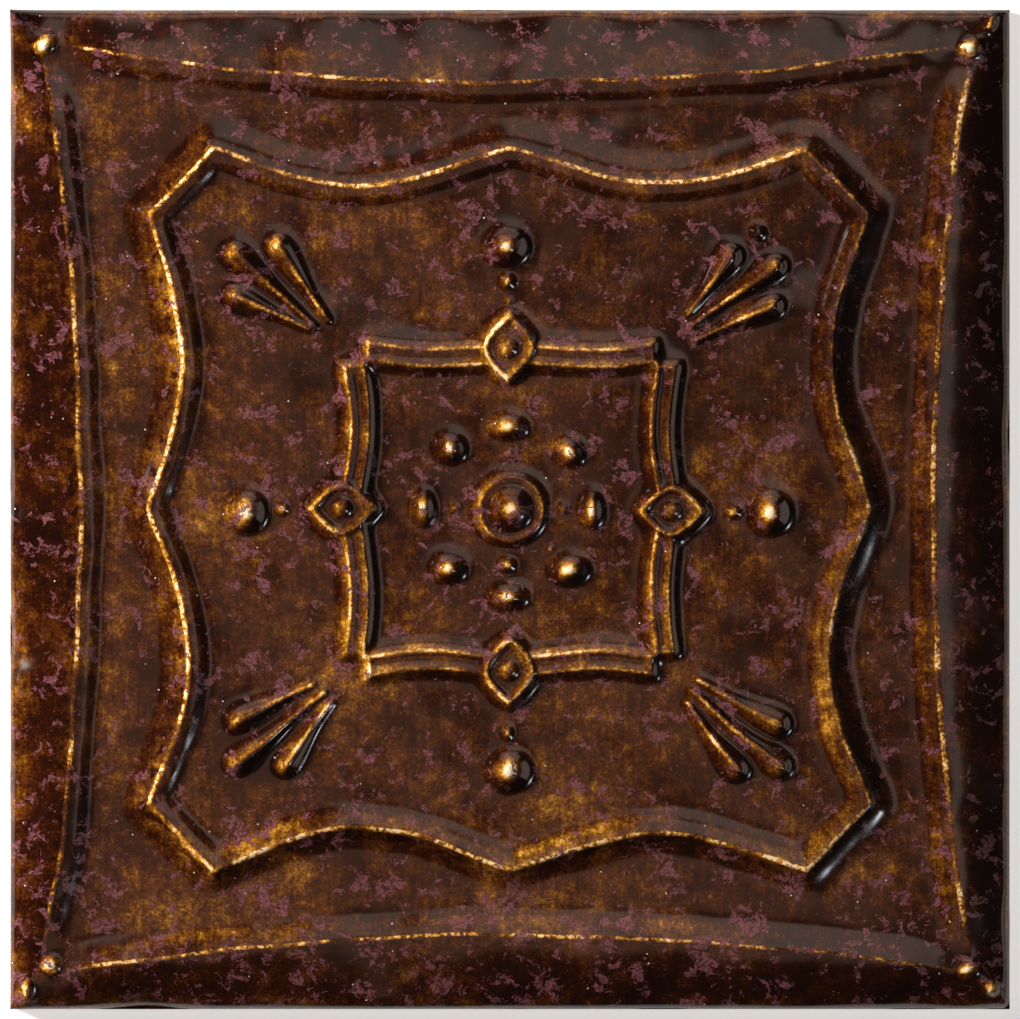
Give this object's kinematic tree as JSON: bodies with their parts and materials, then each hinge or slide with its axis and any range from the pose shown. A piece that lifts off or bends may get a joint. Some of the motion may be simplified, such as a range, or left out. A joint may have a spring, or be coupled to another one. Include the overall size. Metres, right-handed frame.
{
  "type": "relief glazed tile",
  "caption": "Square relief wall tile in brown glaze, with a bowed border, a scalloped cartouche, a double frame, pearls and corner fans.",
  "frame": {"origin": "middle of the flat back face", "axes": "+Z out of the relief face, the tile lying on its back; +Y towards the top of the pattern; +X to its right"},
  "size_m": [0.1, 0.1, 0.0096],
  "materials": {
    "glaze": "glossy brown glaze"
  },
  "bodies": {
    "root": {"relief_tile": "glaze"}
  },
  "joints": []
}
